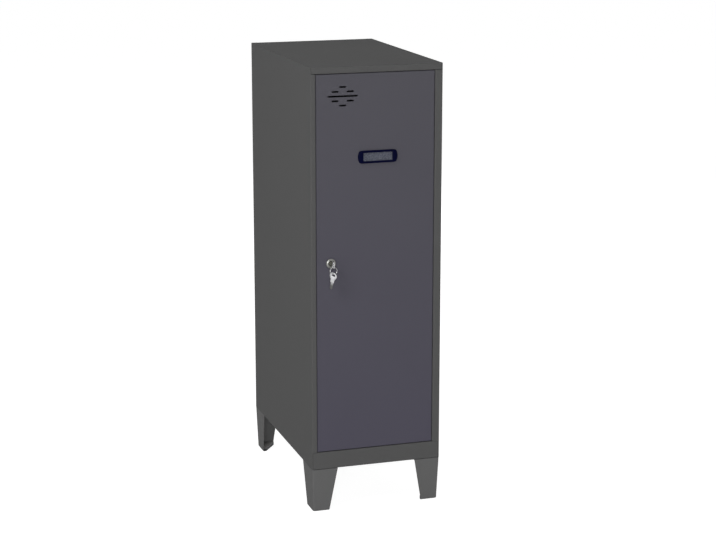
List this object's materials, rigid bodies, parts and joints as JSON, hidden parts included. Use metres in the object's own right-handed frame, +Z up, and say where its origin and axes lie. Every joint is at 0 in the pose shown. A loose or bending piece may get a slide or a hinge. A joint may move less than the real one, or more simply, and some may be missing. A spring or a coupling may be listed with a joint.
{
  "type": "metal locker",
  "caption": "Half-height single-door sheet-steel locker on tapered feet, with vent slots, a card holder and a cam lock with its keys.",
  "frame": {"origin": "on the floor, at the bottom centre of the overall box, keys included", "axes": "+X to the right of someone facing the door, +Y from the door to the back, +Z up"},
  "size_m": [0.3, 0.526, 1],
  "materials": {
    "body_paint": "satin dark grey powder coat",
    "door_paint": "satin violet grey powder coat",
    "foot_paint": "satin mid grey powder coat",
    "black_plastic": "moulded black plastic",
    "nylon": "black nylon",
    "rubber": "soft grey rubber",
    "zinc_steel": "zinc plated",
    "nickel": "bright nickel plated",
    "navy_plastic": "moulded navy plastic",
    "clear_plastic": "clear plastic cover",
    "card": "plain grey card"
  },
  "bodies": {
    "carcass": {"left_side_panel": "body_paint", "right_side_panel": "body_paint", "top_panel": "body_paint", "floor_panel": "body_paint", "back_panel": "body_paint", "shelf": "body_paint", "shelf_bracket_left": "body_paint", "shelf_bracket_right": "body_paint", "pivot_bush_top": "nylon", "pivot_bush_bottom": "nylon", "door_buffer_top": "rubber", "door_buffer_bottom": "rubber", "foot_front_left": "foot_paint", "foot_front_right": "foot_paint", "foot_back_left": "foot_paint", "foot_back_right": "foot_paint", "foot_glide_front_left": "black_plastic", "foot_glide_front_right": "black_plastic", "foot_glide_back_left": "black_plastic", "foot_glide_back_right": "black_plastic", "foot_stud_front_left_1": "zinc_steel", "foot_stud_front_left_2": "zinc_steel", "foot_stud_front_right_1": "zinc_steel", "foot_stud_front_right_2": "zinc_steel", "foot_stud_back_left_1": "zinc_steel", "foot_stud_back_left_2": "zinc_steel", "foot_stud_back_right_1": "zinc_steel", "foot_stud_back_right_2": "zinc_steel", "foot_nut_front_left_1": "zinc_steel", "foot_nut_front_left_2": "zinc_steel", "foot_nut_front_right_1": "zinc_steel", "foot_nut_front_right_2": "zinc_steel", "foot_nut_back_left_1": "zinc_steel", "foot_nut_back_left_2": "zinc_steel", "foot_nut_back_right_1": "zinc_steel", "foot_nut_back_right_2": "zinc_steel"},
    "door": {"door_panel": "door_paint", "door_stiffener": "door_paint", "pivot_pin_top": "zinc_steel", "pivot_pin_bottom": "zinc_steel", "label_frame": "navy_plastic", "label_window": "clear_plastic", "label_card": "card", "lock_housing": "nickel", "lock_nut": "nickel"},
    "lock_cylinder": {"lock_plug": "nickel", "lock_cam": "nickel", "cam_screw": "nickel"},
    "key_in_lock": {"key": "nickel"},
    "ring": {"key_ring": "nickel"},
    "hanging_key": {"spare_key": "nickel"}
  },
  "joints": [
    {"name": "door_swing", "type": "hinge", "parent": "carcass", "child": "door", "pos_m": [0.1062, -0.22851, 0.5625], "axis": [0, 0, 1], "range_deg": [0, 110]},
    {"name": "lock_turn", "type": "hinge", "parent": "door", "child": "lock_cylinder", "pos_m": [-0.1052, -0.23551, 0.5705], "axis": [0, 1, 0], "range_deg": [0, 90]},
    {"name": "key_pull", "type": "slide", "parent": "lock_cylinder", "child": "key_in_lock", "axis": [0, -1, 0], "range_m": [0, 0.022]},
    {"name": "ring_swing", "type": "hinge", "parent": "key_in_lock", "child": "ring", "pos_m": [-0.1052, -0.25531, 0.5659], "axis": [-1, 0, 0], "range_deg": [-8, 60]},
    {"name": "spare_key_swing", "type": "hinge", "parent": "ring", "child": "hanging_key", "pos_m": [-0.1052, -0.25531, 0.5499], "axis": [-1, 0, 0], "range_deg": [-8, 60]}
  ]
}
